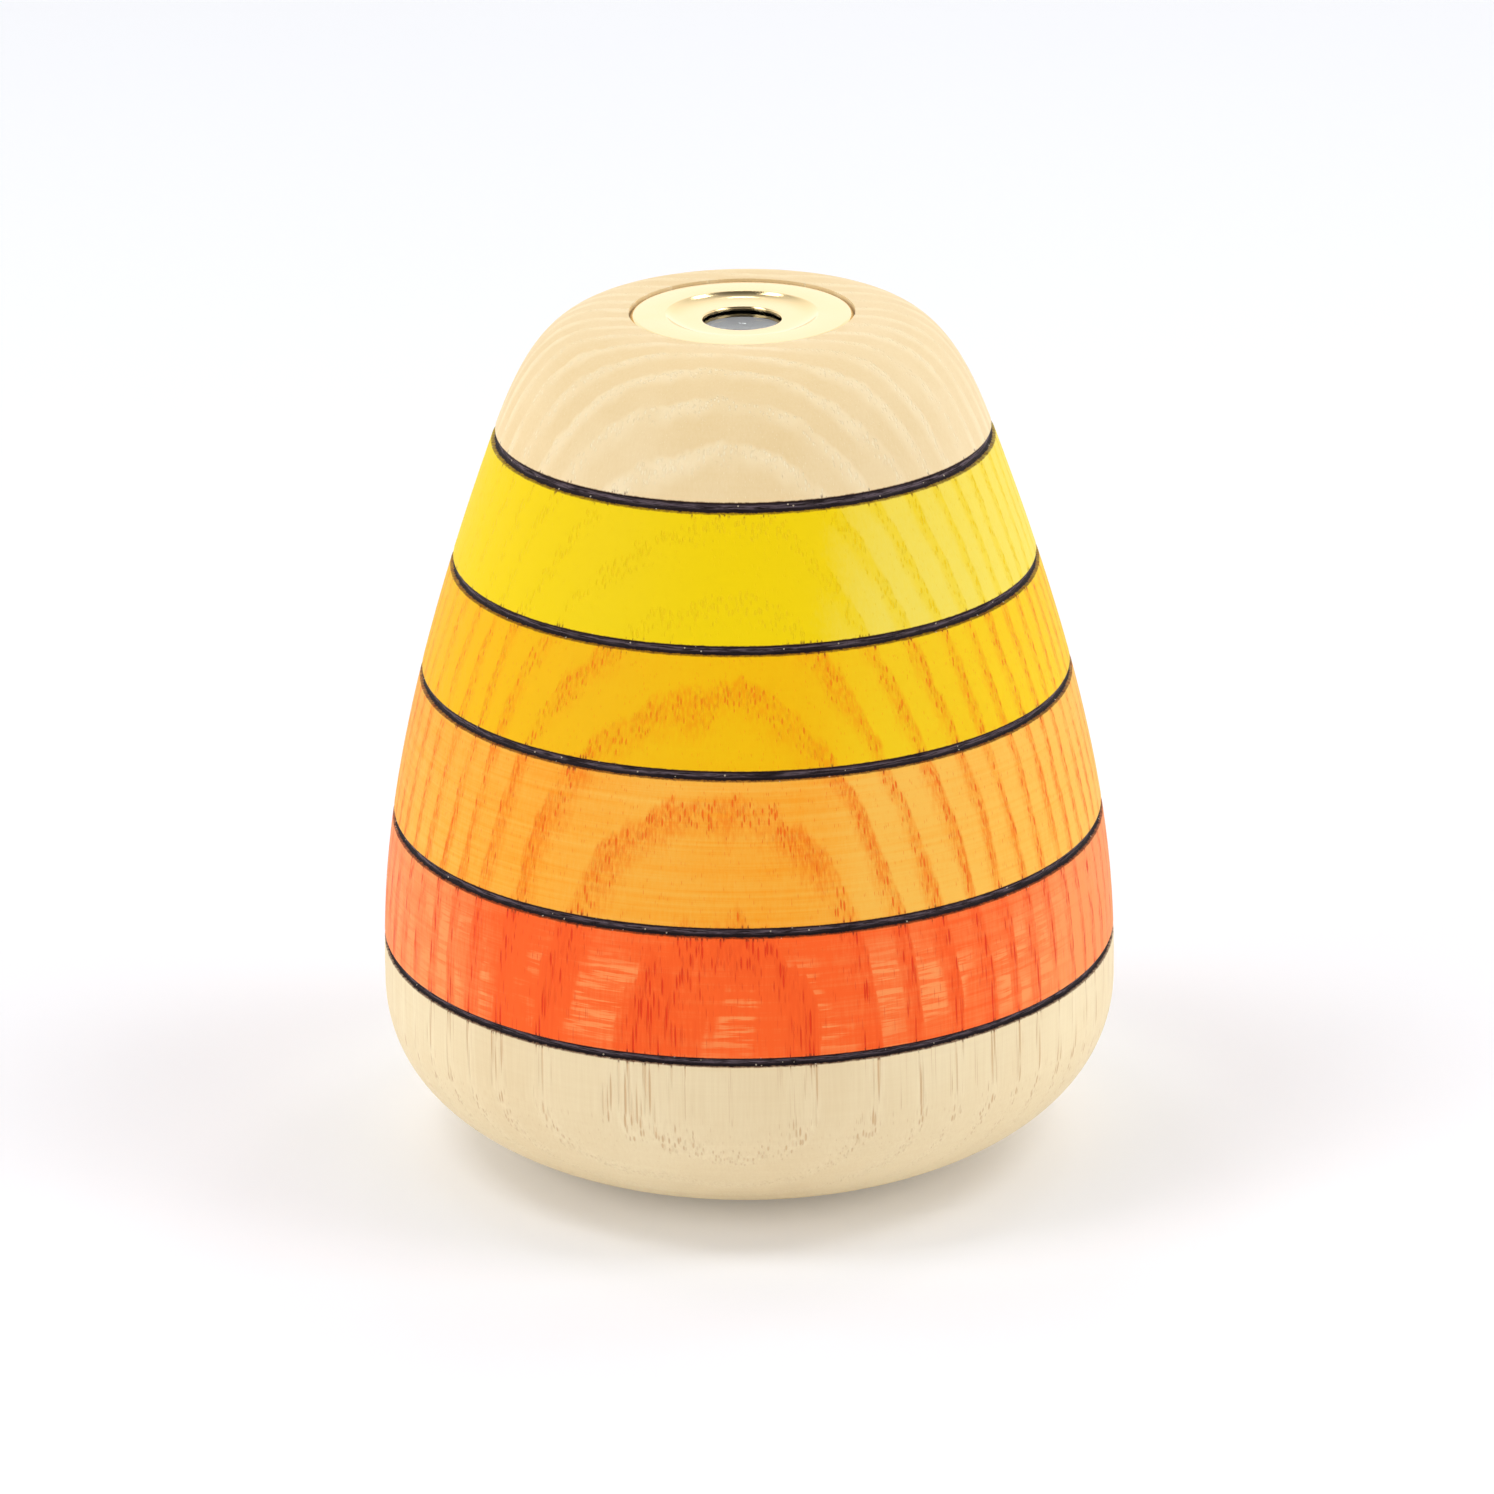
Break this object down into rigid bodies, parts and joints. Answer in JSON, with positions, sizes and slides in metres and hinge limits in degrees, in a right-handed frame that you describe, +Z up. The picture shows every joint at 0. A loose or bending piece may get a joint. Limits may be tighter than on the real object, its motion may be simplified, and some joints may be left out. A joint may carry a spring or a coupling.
{
  "type": "kaleidoscope",
  "caption": "Pear-shaped turned wooden kaleidoscope with stained bands and scorched grooves, a brass eyepiece in the crown and a wide lens in the flat foot.",
  "frame": {"origin": "centre of the flat foot ring, on the plane the object stands on", "axes": "+Z up the turning axis towards the eyepiece; the apex of the mirrors points to -Y, the side shown in the front view"},
  "size_m": [0.067, 0.067, 0.0778],
  "materials": {
    "stained_ash": "oiled, stained in bands, satin",
    "polished_brass": "polished",
    "lens_glass": "clear, polished",
    "silvered_glass": "silvered front face",
    "spring_steel": "bright",
    "black_card": "matt",
    "black_foam": "matt, closed cell",
    "black_rubber": "satin"
  },
  "bodies": {
    "root": {"turned_body": "stained_ash", "eyepiece_ring": "polished_brass", "eye_lens": "lens_glass", "eye_lens_clip": "spring_steel", "eye_stop_disc": "black_card", "mirror_right": "silvered_glass", "mirror_left": "silvered_glass", "black_wall": "black_card", "prism_wrap": "black_card", "lower_centring_ring": "black_foam", "upper_centring_ring": "black_foam", "lens_spacer": "black_foam", "objective_lens": "lens_glass", "lens_cushion_ring": "black_rubber", "objective_retaining_ring": "polished_brass"}
  },
  "joints": []
}
